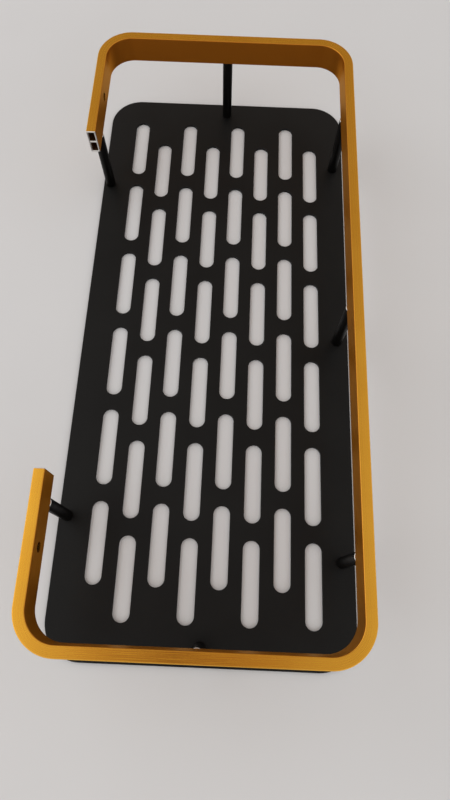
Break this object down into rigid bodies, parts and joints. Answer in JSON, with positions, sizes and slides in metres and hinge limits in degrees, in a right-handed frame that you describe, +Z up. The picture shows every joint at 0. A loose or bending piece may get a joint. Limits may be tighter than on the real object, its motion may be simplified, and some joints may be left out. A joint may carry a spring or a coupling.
{
  "type": "wall shelf",
  "caption": "Flat slotted tray plate with rounded corners, carried on slim posts below a bent hollow guard rail that is open on the wall side; a bathroom wall shelf.",
  "frame": {"origin": "middle of the tray plate's underside, on the surface that the shelf rests on", "axes": "+X along the tray, to the right as seen from the front; +Y to the wall, the side where the rail is open; +Z up"},
  "size_m": [0.3, 0.1312, 0.0493],
  "materials": {
    "black_plate": "matte black coated sheet",
    "gold_rail": "satin gold anodised, bare metal at the cut ends",
    "black_post": "satin black coated, bare metal at the cut ends",
    "screw_steel": "plain zinc-plated steel"
  },
  "bodies": {
    "root": {"tray_plate": "black_plate", "guard_rail": "gold_rail", "post_front_left": "black_post", "post_front_centre": "black_post", "post_front_right": "black_post", "post_left_end": "black_post", "post_right_end": "black_post", "post_back_left": "black_post", "post_back_right": "black_post", "screw_front_left": "screw_steel", "screw_front_centre": "screw_steel", "screw_front_right": "screw_steel", "screw_left_end": "screw_steel", "screw_right_end": "screw_steel", "screw_back_left": "screw_steel", "screw_back_right": "screw_steel"}
  },
  "joints": []
}
